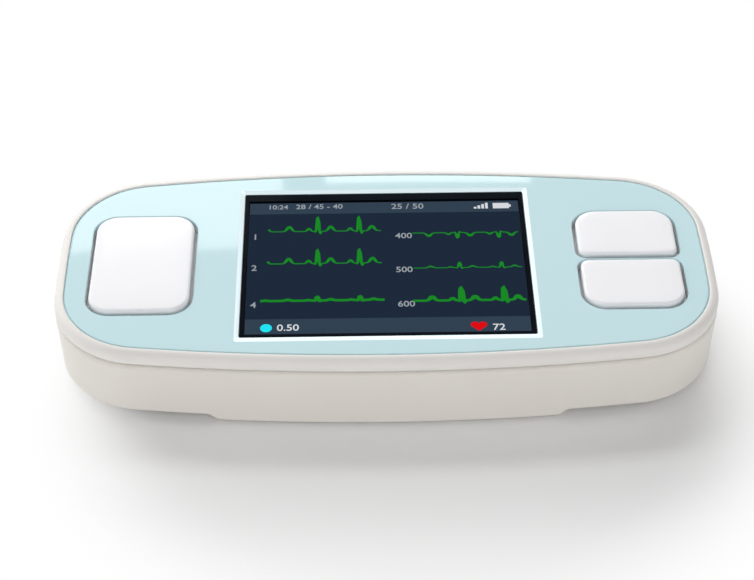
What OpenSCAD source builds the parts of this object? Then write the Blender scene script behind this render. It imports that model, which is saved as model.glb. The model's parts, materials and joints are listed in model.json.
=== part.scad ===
// Hand-held home heart monitor: a long flat two-shell case with bowed sides, a light blue
// front panel, a colour screen in the middle and raised keys on both sides of it.
// Z points up, the device lies on its rubber feet at Z = 0, and -Y is the edge nearest the user.

/* [Body] */
// Overall length at the seam between the two shells
body_l = 165.6; // [160:0.1:172]
// Overall depth at the seam
body_d = 74.6; // [72:0.1:80]
// Angle that each long side's bow turns from its middle to the corner
side_turn = 6.8; // [5:0.1:8]
// Angle that each short end's bow turns from its middle to the corner
end_turn = 1.7; // [1:0.1:3]
// Radius of the four corners
corner_r = 23; // [20:0.5:26]
// Height of the seam above the table
seam_z = 18.5; // [18:0.1:19]
// Height of the front panel's face above the table
top_z = 22.3; // [22.1:0.1:22.7]
// Draft angle of the lower shell's wall
draft_a = 2.2; // [0.5:0.1:4]
// Radius of the rim round the front panel
rim_r = 2; // [1:0.1:2.2]
// Radius of the lower shell's bottom edge
base_r = 1.4; // [0.6:0.1:1.8]
// Wall thickness of the shells
wall = 2.3; // [2:0.1:2.6]

/* [Pedestal] */
// Height of the raised middle of the underside
pedestal_h = 1.8; // [1.4:0.1:2.4]
// Length of the pedestal at its lower face
pedestal_l = 83.4; // [78:0.2:88]
// Length that each sloped shoulder takes
shoulder_l = 2.8; // [1:0.1:5]
// Height that the rubber feet stand out
foot_h = 0.5; // [0.3:0.1:1]
// Radius of a rubber foot
foot_r = 3.5; // [3:0.1:4.5]

/* [Front panel] */
// Width of the rim between the outline and the groove round the panel
rim_w = 2.35; // [2.2:0.05:2.8]
// Width of the groove between rim and panel
groove_w = 0.3; // [0.2:0.05:0.5]
// Thickness of the panel
panel_t = 1.2; // [1:0.1:1.4]
// Offset in Y of the window and the keys from the middle of the case
panel_y = -0.5; // [-1:0.1:1]

/* [Window] */
// Width of the clear window
window_w = 72.5; // [72:0.1:74]
// Depth of the clear window
window_d = 55.8; // [55:0.1:57]
// Thickness of the clear window
window_t = 0.75; // [0.5:0.05:0.9]
// Width of the bevel round the panel's cut-out
bevel_w = 1.1; // [0.5:0.1:1.5]
// Width of the picture area
picture_w = 70.1; // [69:0.1:71]
// Depth of the picture area
picture_d = 52.6; // [51:0.1:53]

/* [Keys] */
// Distance of the key columns from the middle
key_x = 61.4; // [60.8:0.1:62]
// Width of every key
key_w = 25; // [23:0.1:25.4]
// Depth of the large key, and of the two small keys together
key_d = 36.4; // [34:0.1:37]
// Radius of the large corners
key_r = 5.5; // [4:0.1:6.5]
// Radius of the small corners where two keys meet
key_inner_r = 2.2; // [1.8:0.1:3]
// Gap between a key and the panel
key_gap = 0.5; // [0.3:0.05:0.6]
// Strip of panel left between the two small keys
key_web = 1.2; // [1:0.1:2]
// Height of a key above the panel
key_rise = 0.9; // [0.85:0.05:1.4]
// Radius of a key's top edge
key_edge = 0.8; // [0.4:0.05:1]
// How far a key can be pressed
key_travel = 0.8; // [0.4:0.05:0.8]

/* [Board and battery] */
// Height of the circuit board's lower face
board_z = 12.5; // [12.3:0.1:12.7]
// Thickness of the circuit board
board_t = 1.6; // [1.4:0.1:1.6]
// Width of the battery
battery_w = 53; // [45:0.5:53]
// Depth of the battery
battery_d = 34; // [28:0.5:34]
// Thickness of the battery
battery_t = 5.6; // [4.5:0.1:5.8]
// Radius of the lead jack's bore
jack_r = 1.8; // [1.8:0.01:1.85]
// Depth of the lead jack's bore
jack_depth = 12.5; // [11:0.5:12.5]

/* [Hidden] */
$fn = 48;
eps = 0.01;

shell_color = [0.93, 0.92, 0.90];
panel_color = [0.76, 0.88, 0.90];
key_color = [0.97, 0.97, 0.98];
rubber_color = [0.55, 0.56, 0.57];
steel_color = [0.75, 0.76, 0.78];
silicone_color = [0.85, 0.87, 0.88];
chip_color = [0.12, 0.12, 0.13];
gold_color = [0.85, 0.68, 0.30];

// Heights
pedestal_z = foot_h;
floor_z = pedestal_z + pedestal_h;
floor_t = 2;
deck_top = top_z - panel_t;
deck_t = 1.6;
deck_z = deck_top - deck_t;
board_top = board_z + board_t;
seam_gap = 0.4;
tongue_h = 1.8;
tongue_u = 1.25;
band = 4.5;
core_inset = 3.4;

// Keys
key_top = top_z + key_rise;
flange_w = 0.8;
flange_t = 0.9;
flange_z = deck_z - 0.1 - flange_t;
guide_gap = 0.3;
guide_t = 1.2;
guide_z = 16.7;
pair_gap = key_web + 2 * key_gap;
small_d = (key_d - pair_gap) / 2;
small_y = (small_d + pair_gap) / 2;
dome_h = 3;
dome_top = board_top + dome_h;
pill_z = board_top + key_travel + 0.1;
measure_at = [-key_x, panel_y];
up_at = [key_x, panel_y + small_y];
down_at = [key_x, panel_y - small_y];

// Fasteners and posts
case_screw_at = [56, 26.5];
board_screw_at = [43, 19];
post_r = 3.2;
post_z = 9;
head_seat_z = 5.5;

// Display module: it sits in a pocket in the deck, so that its picture comes close to the window
module_w = 76.9;
module_d = 63.9;
ledge_t = 0.6;
ledge_z = deck_top - ledge_t;
gasket_t = 0.4;
cell_h = 2.9;
module_z = ledge_z - gasket_t - cell_h;
picture_z = deck_top - 0.3;

// Battery bay and its door
bay_gap = 0.4;
bay_w = battery_w + 2 * bay_gap;
bay_front = -16.8;
bay_back = bay_front + 1.4 + battery_d + bay_gap;
bay_top = floor_z + battery_t + 0.7;
bay_wall = 1.4;
door_w = 54;
door_front = -18;
door_gap = 0.3;
door_bottom = pedestal_z + 0.05;
door_top = floor_z - 0.25;
rail_w = 1.2;
rail_z = [1.15, 1.7];

// Sockets in the back wall
usb_at = [-45.5, 10.85];
usb_size = [8.94, 3.26];
jack_at = [46, 9.8];
jack_mouth_y = 34.6;

// ---------------------------------------------------------------- outline of the case
// The outline is eight arcs: two long bows, two short bows and four corners. The bows' radii
// follow from how far each one turns before it runs into a corner.
side_cos = 1 - cos(side_turn);
end_cos = 1 - cos(end_turn);
half_run = [body_l / 2 - corner_r, body_d / 2 - corner_r];
turn_area = sin(side_turn) * sin(end_turn) - side_cos * end_cos;
side_run = (half_run.x * sin(end_turn) - half_run.y * end_cos) / turn_area;
end_run = (half_run.y * sin(side_turn) - half_run.x * side_cos) / turn_area;
side_r = side_run + corner_r;
end_r = end_run + corner_r;
side_c = [0, body_d / 2 - side_r];
end_c = [body_l / 2 - end_r, 0];
corner_c = [side_run * sin(side_turn), end_run * sin(end_turn)];

function on_arc(c, r, a) = c + r * [cos(a), sin(a)];

// A quarter of the outline in straight steps, inset by "inset", from the +X end to the +Y side
function quarter(inset) = let (corner_a = 90 - side_turn - end_turn) concat(
  [for (k = [0.5:5.5]) on_arc(corner_c, corner_r - inset, end_turn + corner_a * k / 6)],
  [for (k = [0.5:2.5]) on_arc(side_c, side_r - inset, 90 - side_turn + side_turn * k / 3)]);

// Points of a quarter carried round to all four quarters
function all_quarters(q) = let (n = len(q) - 1) concat(
  q, [for (k = [n:-1:0]) [-q[k].x, q[k].y]], -q, [for (k = [n:-1:0]) [q[k].x, -q[k].y]]);

// Arc of points for a rounded edge in a profile
function arc_points(c, r, a0, a1, n) = [for (k = [0:n]) on_arc(c, r, a0 + (a1 - a0) * k / n)];

// Moves its children in three ever finer steps: an exported file carries six digits, and the
// ends of neighbouring arcs have to meet exactly
module shift(v) {
  coarse = [round(v.x), round(v.y)];
  fine = [for (k = [0, 1]) round((v[k] - coarse[k]) * 1000) / 1000];
  translate([coarse.x, coarse.y, 0]) translate([fine.x, fine.y, 0])
    translate([v.x - coarse.x - fine.x, v.y - coarse.y - fine.y, 0]) children();
}

// Sweeps a profile along one arc; the profile's X is the distance outward from the outline
module arc_sweep(c, r, a, sweep_a, step_a) {
  shift(c) rotate_extrude(start = a, angle = sweep_a, $fn = ceil(360 / step_a)) shift([r, 0]) children();
}

// Sweeps a profile all round the case's outline, a quarter at a time: half a side's bow, a
// corner and half an end's bow
module around_case() {
  for (mx = [0, 1], my = [0, 1]) mirror([mx, 0, 0]) mirror([0, my, 0]) {
    arc_sweep(side_c, side_r, 90 - side_turn, side_turn, 0.6) children();
    arc_sweep(corner_c, corner_r, end_turn, 90 - side_turn - end_turn, 4) children();
    arc_sweep(end_c, end_r, 0, end_turn, 0.6) children();
  }
}

// Fills the middle of the case between two heights, inside the swept band
module case_core(z0, z1) {
  translate([0, 0, z0]) linear_extrude(z1 - z0) polygon(all_quarters(quarter(core_inset)));
}

// ---------------------------------------------------------------- rounded rectangles
// Sweeps a profile round a rectangle of size [w, d] whose back corners have radius r_back and
// front corners r_front; the profile's X is the distance outward from the edge
module around_rect(w, d, r_back, r_front) {
  for (sx = [0, 1]) mirror([sx, 0, 0]) {
    translate([w / 2 - r_back, d / 2 - r_back, 0])
      rotate_extrude(angle = 90) translate([r_back, 0]) children();
    translate([w / 2 - r_front, r_front - d / 2, 0])
      rotate([0, 0, -90]) rotate_extrude(angle = 90) translate([r_front, 0]) children();
    translate([w / 2, d / 2 - r_back, 0])
      rotate([90, 0, 0]) linear_extrude(d - r_back - r_front) children();
  }
  translate([r_back - w / 2, d / 2, 0])
    rotate([90, 0, 90]) linear_extrude(w - 2 * r_back) children();
  translate([w / 2 - r_front, -d / 2, 0])
    rotate([90, 0, -90]) linear_extrude(w - 2 * r_front) children();
}

// Points of a rectangle's rounded corners, inset, for the solid middle of a swept slab
function rect_core(w, d, r_back, r_front, inset) =
  let (b = [w / 2 - r_back, d / 2 - r_back], f = [w / 2 - r_front, d / 2 - r_front],
       back = arc_points(b, r_back - inset, 0, 90, 2), front = arc_points(f, r_front - inset, 0, 90, 2))
  concat(back, [for (k = [2:-1:0]) [-back[k].x, back[k].y]],
         -front, [for (k = [2:-1:0]) [front[k].x, -front[k].y]]);

// A flat slab with rounded corners
module slab(w, d, r_back, r_front, z0, z1) {
  edge = min(r_back, r_front) * 0.8;
  around_rect(w, d, r_back, r_front) translate([-edge, z0]) square([edge, z1 - z0]);
  translate([0, 0, z0]) linear_extrude(z1 - z0) polygon(rect_core(w, d, r_back, r_front, edge / 2));
}

module box(w, d, z0, z1) {
  translate([-w / 2, -d / 2, z0]) cube([w, d, z1 - z0]);
}

// Puts its children at the four places (+-x, +-y)
module four(at) {
  for (sx = [-1, 1], sy = [-1, 1]) translate([sx * at.x, sy * at.y, 0]) children();
}

// ---------------------------------------------------------------- shells
// Wall of the upper shell: rounded rim, seat of the front panel, edge of the deck, and the
// tongue that reaches down inside the lower shell
module upper_profile() {
  polygon(concat(
    [[0, seam_z + seam_gap / 2]],
    arc_points([-rim_r, top_z - rim_r], rim_r, 0, 90, 6),
    [[-rim_w, top_z], [-rim_w, deck_top], [-band, deck_top], [-band, deck_z], [-wall, deck_z],
     [-wall, seam_z - tongue_h], [-tongue_u, seam_z - tongue_h], [-tongue_u, seam_z + seam_gap / 2]]));
}

// Distance that the draft has drawn the wall in at a height
function draft_in(z) = (seam_z - z) * tan(draft_a);

// Outer edge of the drafted wall from a height down to a rounded bottom edge at z0
function drafted_edge(z_top, z0) =
  let (c = [-draft_in(z0 + base_r) - base_r / cos(draft_a), z0 + base_r])
  concat([[-draft_in(z_top), z_top]], arc_points(c, base_r, -draft_a, -90, 5));

// Wall of the lower shell: softened lip, rebate for the tongue, drafted wall and floor edge
module lower_profile() {
  lip_r = 0.5;
  lip_z = seam_z - seam_gap / 2;
  rebate_u = tongue_u - 0.15;
  rebate_z = seam_z - tongue_h - 0.3;
  polygon(concat(
    [[-rebate_u, rebate_z], [-rebate_u, lip_z], [-lip_r, lip_z]],
    arc_points([-lip_r, lip_z - lip_r], lip_r, 60, 30, 1),
    drafted_edge(lip_z - lip_r, floor_z),
    [[-band, floor_z], [-band, floor_z + floor_t], [-wall - 2, floor_z + floor_t],
     [-wall - 0.6, floor_z + floor_t + 1.2], [-wall, rebate_z]]));
}

// The pedestal before its door is cut: the case's own outline carried lower, between two
// sloped shoulders
module pedestal_block(z_top) {
  half_l = pedestal_l / 2;
  intersection() {
    union() {
      around_case() polygon(concat(drafted_edge(z_top, pedestal_z), [[-band, pedestal_z], [-band, z_top]]));
      case_core(pedestal_z, z_top);
    }
    rotate([90, 0, 0]) linear_extrude(body_d + 10, center = true)
      polygon([[-half_l, pedestal_z - 1], [half_l, pedestal_z - 1], [half_l, pedestal_z],
               [half_l + shoulder_l, floor_z], [half_l + shoulder_l, z_top + 1],
               [-half_l - shoulder_l, z_top + 1], [-half_l - shoulder_l, floor_z],
               [-half_l, pedestal_z]]);
  }
}

// Openings for the keys, from the panel's face down through the deck
module key_openings(z0, z1) {
  g = 2 * key_gap;
  translate(measure_at) slab(key_w + g, key_d + g, key_r + key_gap, key_r + key_gap, z0, z1);
  translate(up_at)
    slab(key_w + g, small_d + g, key_r + key_gap, key_inner_r + key_gap, z0, z1);
  translate(down_at)
    slab(key_w + g, small_d + g, key_inner_r + key_gap, key_r + key_gap, z0, z1);
}

module top_housing() color(shell_color) {
  guide_u = flange_w + guide_gap;
  rib_w = module_w + 0.8;
  rib_d = module_d + 0.8;
  difference() {
    union() {
      around_case() upper_profile();
      case_core(deck_z, deck_top);
      // collars that guide the keys
      for (sx = [-1, 1]) translate([sx * key_x, panel_y, 0])
        around_rect(key_w, key_d, key_r, key_r)
          translate([guide_u, guide_z]) square([guide_t, deck_z - guide_z + eps]);
      // ribs that locate the display
      for (sx = [-1, 1]) translate([sx * (rib_w + 1) / 2, panel_y, 0]) box(1, rib_d - 12, module_z, deck_z + eps);
      for (sx = [-1, 1]) translate([sx * 26, panel_y + (rib_d + 1) / 2, 0]) box(12, 1, module_z, deck_z + eps);
      four(case_screw_at) translate([0, 0, post_z + 0.1]) cylinder(r = post_r, h = deck_z - post_z);
      four(board_screw_at) translate([0, 0, board_top]) cylinder(r = 2.3, h = deck_z - board_top + eps);
    }
    translate([0, panel_y, 0]) {
      box(picture_w + 0.6, picture_d + 0.6, deck_z - 1, top_z);
      box(rib_w, rib_d, deck_z - 1, ledge_z);
    }
    key_openings(deck_z - 1, top_z + 1);
    four(case_screw_at) translate([0, 0, post_z - 1]) cylinder(r = 1.05, h = 8);
    four(board_screw_at) translate([0, 0, board_top - 1]) cylinder(r = 0.95, h = 5);
  }
}

module fascia_panel() color(panel_color) {
  edge_u = rim_w + groove_w;
  cut = [window_w + 0.3, window_d + 0.3];
  bevel_h = 0.45;
  bevel_z = top_z - bevel_h;
  difference() {
    union() {
      around_case() translate([-band, deck_top]) square([band - edge_u, panel_t]);
      case_core(deck_top, top_z);
    }
    key_openings(deck_top - 1, top_z + 1);
    translate([0, panel_y, 0]) {
      box(cut.x, cut.y, deck_top - 1, top_z + 1);
      // bevelled edge: a shallow pyramid, where two wedges cross
      intersection() {
        rotate([90, 0, 0]) linear_extrude(body_d, center = true) bevel_wedge(cut.x / 2, bevel_z, bevel_h);
        rotate([90, 0, 90]) linear_extrude(body_l, center = true) bevel_wedge(cut.y / 2, bevel_z, bevel_h);
      }
    }
  }
}

module bevel_wedge(half_w, z, h) {
  polygon([[-half_w, z], [half_w, z], [half_w + bevel_w, z + h], [half_w + bevel_w, z + h + 1],
           [-half_w - bevel_w, z + h + 1], [-half_w - bevel_w, z + h]]);
}

module screen_window() color("black") {
  translate([0, panel_y, 0]) box(window_w, window_d, deck_top, deck_top + window_t);
}

// The lower shell: tray with the pedestal, screw posts, battery bay, sockets and sound holes
module bottom_housing() color(shell_color) {
  bay_c = [0, (bay_front + bay_back) / 2];
  bay_d = bay_back - bay_front;
  difference() {
    union() {
      around_case() lower_profile();
      case_core(floor_z, floor_z + floor_t);
      pedestal_block(floor_z + floor_t);
      four(case_screw_at) translate([0, 0, floor_z + 1]) cylinder(r = post_r, h = post_z - floor_z - 1);
      // rests that hold the board up under the keys
      four([68, 14]) translate([0, 0, floor_z + 1]) cylinder(r = 2, h = board_z - floor_z - 1);
      translate(bay_c) box(bay_w + 2 * bay_wall, bay_d + 2 * bay_wall, floor_z + 1, bay_top + 1.2);
    }
    translate(bay_c) box(bay_w, bay_d, pedestal_z - 1, bay_top);
    // slot for the battery's contact block
    translate([0, bay_front - bay_wall / 2, 0]) box(12.4, bay_wall + 0.2, 3.2, 8.2);
    // channel and side grooves that the door slides in
    translate([-door_w / 2 - door_gap, door_front - door_gap, pedestal_z - 1])
      cube([door_w + 2 * door_gap, body_d, floor_z - pedestal_z + 1]);
    translate([-door_w / 2 - rail_w - door_gap, door_front - door_gap, rail_z[0] - 0.2])
      cube([door_w + 2 * rail_w + 2 * door_gap, body_d, rail_z[1] - rail_z[0] + 0.4]);
    four([35, 28]) translate([0, 0, pedestal_z - 1]) cylinder(r = foot_r + 0.1, h = 1.65);
    four(case_screw_at) {
      translate([0, 0, floor_z - 1]) cylinder(r = 2.4, h = head_seat_z - floor_z + 1);
      translate([0, 0, floor_z]) cylinder(r = 1.4, h = post_z);
    }
    // sockets in the back wall
    translate([usb_at.x, 30, usb_at.y]) box(usb_size.x + 0.7, 20, -usb_size.y / 2 - 0.3, usb_size.y / 2 + 0.3);
    translate([jack_at.x, 30, jack_at.y]) rotate([-90, 0, 0]) cylinder(r = 2.7, h = 10);
    // sound holes under the buzzer
    translate([60, 6, floor_z - 1]) for (k = [0:6])
      rotate([0, 0, 60 * k]) translate([k == 6 ? 0 : 2.6, 0, 0]) cylinder(r = 0.7, h = floor_t + 2);
  }
}

module battery_door() color(shell_color) {
  intersection() {
    pedestal_block(door_top);
    translate([-door_w / 2, door_front, door_bottom]) cube([door_w, body_d, door_top - door_bottom]);
  }
  // rails along both sides
  for (sx = [-1, 1]) translate([sx * (door_w / 2 + rail_w / 2 - 0.2), 7.5, 0])
    box(rail_w + 0.2, 49, rail_z[0], rail_z[1]);
}

module rubber_feet() color(rubber_color) {
  four([35, 28]) cylinder(r = foot_r, h = foot_h + 0.6);
}

// Pan-head screw pointing up from a seat at the origin
module screw(head_r, head_h, shank_r, length) {
  difference() {
    translate([0, 0, -head_h]) cylinder(r = head_r, h = head_h);
    for (a = [0, 90]) rotate([0, 0, a]) translate([-head_r * 0.6, -0.25, -head_h - 1])
      cube([head_r * 1.2, 0.5, 1 + head_h / 2]);
  }
  cylinder(r = shank_r, h = length);
}

module housing_screws() color(steel_color) {
  four(case_screw_at) translate([0, 0, head_seat_z]) screw(2.1, 1.6, 1, 10);
}

// ---------------------------------------------------------------- keys
// A moulded key: hollow cap with a rounded top edge, flange that holds it under the deck, and
// a stem with ribs that pushes on its dome
module key_cap(d, r_back, r_front) {
  cap_t = 1.4;
  stem_r = 2.2;
  skin_z = key_top - cap_t;
  around_rect(key_w, d, r_back, r_front) polygon(concat(
    [[-cap_t, flange_z], [flange_w, flange_z], [flange_w, flange_z + flange_t], [0, flange_z + flange_t]],
    arc_points([-key_edge, key_top - key_edge], key_edge, 0, 90, 5),
    [[-cap_t - 0.4, key_top], [-cap_t - 0.4, skin_z], [-cap_t, skin_z]]));
  translate([0, 0, skin_z]) linear_extrude(cap_t)
    polygon(rect_core(key_w, d, r_back, r_front, cap_t - 0.1));
  translate([0, 0, dome_top + 0.05]) cylinder(r = stem_r, h = skin_z - dome_top);
  for (a = [0, 90]) rotate([0, 0, a]) box(12, 1, flange_z, skin_z + eps);
}

module measure_key() color(key_color) translate(measure_at) key_cap(key_d, key_r, key_r);
module up_key() color(key_color) translate(up_at) key_cap(small_d, key_r, key_inner_r);
module down_key() color(key_color) translate(down_at) key_cap(small_d, key_inner_r, key_r);

// Silicone sheet on the board, open under each dome
module keypad(at, dome_list) color(silicone_color) {
  difference() {
    translate(at) slab(24, 35, 3, 3, board_top, board_top + 0.8);
    for (p = dome_list) translate([p.x, p.y, board_top - 1]) cylinder(r = 4.7, h = 3);
  }
}

module measure_keypad() keypad(measure_at, [measure_at]);
module scroll_keypad() keypad([key_x, panel_y], [up_at, down_at]);

// Silicone dome: thin sloped skirt under a solid crown
module dome(at) color(silicone_color) translate([at.x, at.y, board_top])
  rotate_extrude()
    polygon([[4.6, 0], [4.6, 0.7], [4.1, 0.8], [2.6, dome_h - 0.3], [2.3, dome_h], [0, dome_h],
             [0, dome_h - 1.3], [2, dome_h - 1.3], [3.7, 0]]);

module measure_dome() dome(measure_at);
module up_dome() dome(up_at);
module down_dome() dome(down_at);

// Carbon pill under the crown that closes the contact on the board
module contact(at) color(chip_color)
  translate([at.x, at.y, pill_z]) cylinder(r = 1.6, h = dome_top - 1.3 - pill_z);

module measure_contact() contact(measure_at);
module up_contact() contact(up_at);
module down_contact() contact(down_at);

// ---------------------------------------------------------------- display
module display_gasket() color(chip_color) translate([0, panel_y, 0]) difference() {
  box(picture_w + 5, picture_d + 5, ledge_z - gasket_t, ledge_z);
  box(picture_w + 1, picture_d + 1, ledge_z - gasket_t - 1, ledge_z + 1);
}

module display_frame() color(steel_color) translate([0, panel_y, 0]) difference() {
  box(module_w, module_d, module_z, module_z + 2.5);
  box(module_w - 0.8, module_d - 0.8, module_z + 0.3, module_z + 4);
  // notch that the flex comes out of
  translate([0, -module_d / 2, 0]) box(34, 2, module_z + 1.4, module_z + 4);
}

// Two panes: the lower one carries the flex, the upper one shows the picture
module display_glass() color("darkslategray") translate([0, panel_y, 0]) {
  box(module_w - 1, module_d - 1, module_z + 1.6, module_z + cell_h);
  box(picture_w, picture_d, module_z + 2, picture_z);
}

module display_backlight() color("white") translate([0, panel_y, 0])
  box(module_w - 1.4, module_d - 1.4, module_z + 0.35, module_z + 1.55);

// Spacer between the display and the board, with a foot at each corner
module display_bracket() color(chip_color) {
  foot_top = module_z - 0.8;
  translate([0, panel_y, 0]) difference() {
    box(76, 62, foot_top, module_z);
    box(66, 48, foot_top - 1, module_z + 1);
  }
  four([35.5, 19.5]) box(4, 5, board_top, foot_top + eps);
}

// Ribbon that leaves the display's front edge, turns down and runs back to its connector
module display_flex() color("orange") {
  film_t = 0.15;
  bend_r = 0.7;
  bend_y = panel_y - module_d / 2 - 1.2 + bend_r;
  high = [bend_y, module_z + 1.9 - bend_r];
  low = [bend_y, board_top + 0.65 + bend_r];
  display_y = panel_y - (module_d - 1) / 2 - 0.02;
  connector_y = -20.6;
  rotate([90, 0, 90]) linear_extrude(32, center = true) polygon(concat(
    [[display_y, high.y + bend_r]],
    arc_points(high, bend_r, 90, 180, 4), arc_points(low, bend_r, 180, 270, 4),
    [[connector_y, low.y - bend_r], [connector_y, low.y - bend_r + film_t]],
    arc_points(low, bend_r - film_t, 270, 180, 4), arc_points(high, bend_r - film_t, 180, 90, 4),
    [[display_y, high.y + bend_r - film_t]]));
}

module flex_connector() color("ivory") difference() {
  translate([0, -18.5, 0]) box(36, 4, board_top, board_top + 1.3);
  translate([0, -20.5, 0]) box(32.4, 3, board_top + 0.55, board_top + 0.9);
}

// ---------------------------------------------------------------- electronics
module main_board() color("darkgreen") {
  difference() {
    union() {
      box(140, 46, board_z, board_top);
      for (sx = [-1, 1]) translate([sx * 46.5, 22, 0]) box(12, 19.2, board_z, board_top);
    }
    four(board_screw_at) translate([0, 0, board_z - 1]) cylinder(r = 1.1, h = 4);
  }
}

module board_screws() color(steel_color) {
  four(board_screw_at) translate([0, 0, board_z]) screw(1.9, 1.2, 0.9, 5);
}

// A chip on the board's lower face
module chip(at, size) color(chip_color) translate(at) box(size.x, size.y, board_z - size.z, board_z);

module processor_chip() chip([37, -8], [12, 12, 1.2]);
module memory_chip() chip([37, 5], [8, 6, 1]);
module front_end_chip() chip([-42, 3], [9, 9, 1]);
module charger_chip() chip([-34.5, 17.5], [4, 4, 0.9]);

module shield_can() color(steel_color) translate([-42, 2]) difference() {
  box(20, 18, board_z - 2.2, board_z);
  box(19.5, 17.5, board_z - 1.95, board_z + 1);
}

module radio_module() color("navy") translate([-57, -14]) {
  box(16, 11, board_z - 0.8, board_z);
  translate([1.8, 0, 0]) box(10, 9, board_z - 2.3, board_z - 0.8);
}

module crystal() color(steel_color) translate([46.5, -8]) slab(3.2, 5, 0.8, 0.8, board_z - 1, board_z);

module capacitors() color("tan") for (k = [0:3])
  translate([35 + 5 * k, 12.5]) box(1.6, 3.2, board_z - 1.4, board_z);

module usb_socket() color(steel_color) translate([usb_at.x, 33.6, usb_at.y]) rotate([90, 0, 0]) {
  h = usb_size.y;
  around_rect(usb_size.x, h, 1.3, 1.3) translate([-0.3, 0]) square([0.3, 7.4]);
  slab(usb_size.x, h, 1.3, 1.3, 7.1, 7.4);
}

module usb_tongue() color(chip_color) translate([usb_at.x, 33.6, usb_at.y]) rotate([90, 0, 0])
  box(6.7, 0.7, 0.8, 7.1);

// Round jack for the electrode lead, with its nose in the back wall
module lead_jack() color(chip_color) translate([jack_at.x, 0, jack_at.y]) difference() {
  union() {
    translate([0, 26.65, 0]) box(7, 10.5, -2.65, 2.65);
    translate([0, jack_mouth_y, 0]) rotate([90, 0, 0]) cylinder(r = 2.5, h = 3.2);
  }
  translate([0, jack_mouth_y + 1, 0]) rotate([90, 0, 0]) cylinder(r = jack_r, h = jack_depth + 1);
}

module jack_contacts() color(gold_color) for (sx = [-1, 1], k = [0:1])
  translate([jack_at.x + sx * 3.65, 24 + 5 * k, 0]) box(0.3, 1.6, jack_at.y - 1, board_z);

module buzzer() color(chip_color) translate([60, 6]) difference() {
  translate([0, 0, board_z - 3.4]) cylinder(r = 5.5, h = 3.4);
  translate([0, 0, board_z - 4]) cylinder(r = 1, h = 1.6);
}

module battery_pack() color("slategray") {
  front = bay_front + 1.4;
  translate([0, front + battery_d / 2, 0])
    slab(battery_w, battery_d, 2.5, 2.5, floor_z + 0.2, floor_z + 0.2 + battery_t);
}

module contact_block() color(chip_color) difference() {
  translate([0, bay_front - bay_wall / 2, 0]) box(12, bay_wall, 3.4, 8);
  for (k = [-1:1]) translate([4 * k, bay_front - bay_wall / 2, 0]) box(1.8, bay_wall + 1, 3.9, 7.1);
}

// Three leaf springs bowed towards the battery, with tails up to the board
module contact_springs() color(gold_color) {
  leaf_t = 0.2;
  foot_z = floor_z + floor_t + 0.1;
  bow_r = 2.6;
  bow_c = [bay_front - 1.4, foot_z + bow_r * sin(35)];
  back_y = bay_front - bay_wall - 0.3;
  foot_y = bay_front + 0.75;
  for (k = [-1:1]) translate([4 * k, 0, 0]) {
    rotate([90, 0, 90]) linear_extrude(1.4, center = true)
      polygon(concat(arc_points(bow_c, bow_r, -35, 35, 6), arc_points(bow_c, bow_r - leaf_t, 35, -35, 6)));
    translate([0, back_y + leaf_t / 2, 0]) box(1.4, leaf_t, foot_z, board_z);
    translate([0, (back_y + foot_y) / 2, 0]) box(1.4, foot_y - back_y, foot_z, foot_z + leaf_t);
  }
}

top_housing();
bottom_housing();
fascia_panel();
screen_window();
measure_key();
up_key();
down_key();
battery_door();
rubber_feet();
housing_screws();
display_gasket();
display_frame();
display_glass();
display_backlight();
display_bracket();
display_flex();
flex_connector();
measure_keypad();
scroll_keypad();
measure_dome();
up_dome();
down_dome();
measure_contact();
up_contact();
down_contact();
main_board();
board_screws();
processor_chip();
memory_chip();
front_end_chip();
shield_can();
charger_chip();
radio_module();
crystal();
capacitors();
usb_socket();
usb_tongue();
lead_jack();
jack_contacts();
buzzer();
battery_pack();
contact_block();
contact_springs();
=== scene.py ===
import json
import math

import bmesh
import bpy
from mathutils import Matrix, Vector

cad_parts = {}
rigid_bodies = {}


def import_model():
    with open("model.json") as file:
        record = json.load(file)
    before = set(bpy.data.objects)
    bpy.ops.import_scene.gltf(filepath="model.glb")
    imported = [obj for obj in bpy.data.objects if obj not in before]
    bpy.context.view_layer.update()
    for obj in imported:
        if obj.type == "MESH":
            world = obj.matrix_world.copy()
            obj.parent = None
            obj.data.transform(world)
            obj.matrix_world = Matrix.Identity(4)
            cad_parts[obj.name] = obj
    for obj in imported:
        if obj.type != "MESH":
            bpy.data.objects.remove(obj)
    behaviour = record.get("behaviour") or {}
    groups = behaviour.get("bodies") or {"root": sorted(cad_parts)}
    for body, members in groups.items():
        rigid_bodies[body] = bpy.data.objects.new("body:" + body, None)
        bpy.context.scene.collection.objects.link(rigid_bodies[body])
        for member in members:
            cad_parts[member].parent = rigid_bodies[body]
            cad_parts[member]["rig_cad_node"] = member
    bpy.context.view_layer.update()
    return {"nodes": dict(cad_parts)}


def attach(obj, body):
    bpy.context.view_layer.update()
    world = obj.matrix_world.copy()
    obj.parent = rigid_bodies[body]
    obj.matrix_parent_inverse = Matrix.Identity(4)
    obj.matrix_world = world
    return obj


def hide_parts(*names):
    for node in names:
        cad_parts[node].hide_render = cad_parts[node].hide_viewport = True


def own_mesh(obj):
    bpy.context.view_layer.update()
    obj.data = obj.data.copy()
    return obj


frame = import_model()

# ------------------------------------------------------------------ camera
# A long lens half a metre away, 41 degrees above the table and square to the front edge of
# the monitor. Its focal length was fitted to the window's corners in a picture 754 wide.
PICTURE_WIDTH = 754
FOCAL_LENGTH = 2042
DISTANCE = 0.5073
tilt, turn, roll = math.radians(41.44), math.radians(0.83), math.radians(-0.2)
looked_at = Vector((-0.00246, -0.01139, 0.0223))
ahead = Vector((math.sin(turn) * math.cos(tilt), math.cos(turn) * math.cos(tilt), -math.sin(tilt)))
level = Vector((math.cos(turn), -math.sin(turn), 0))
right = level * math.cos(roll) + level.cross(ahead) * math.sin(roll)
above = right.cross(ahead)
bpy.ops.object.camera_add()
camera = bpy.context.object
camera.data.sensor_width = 36
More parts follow.
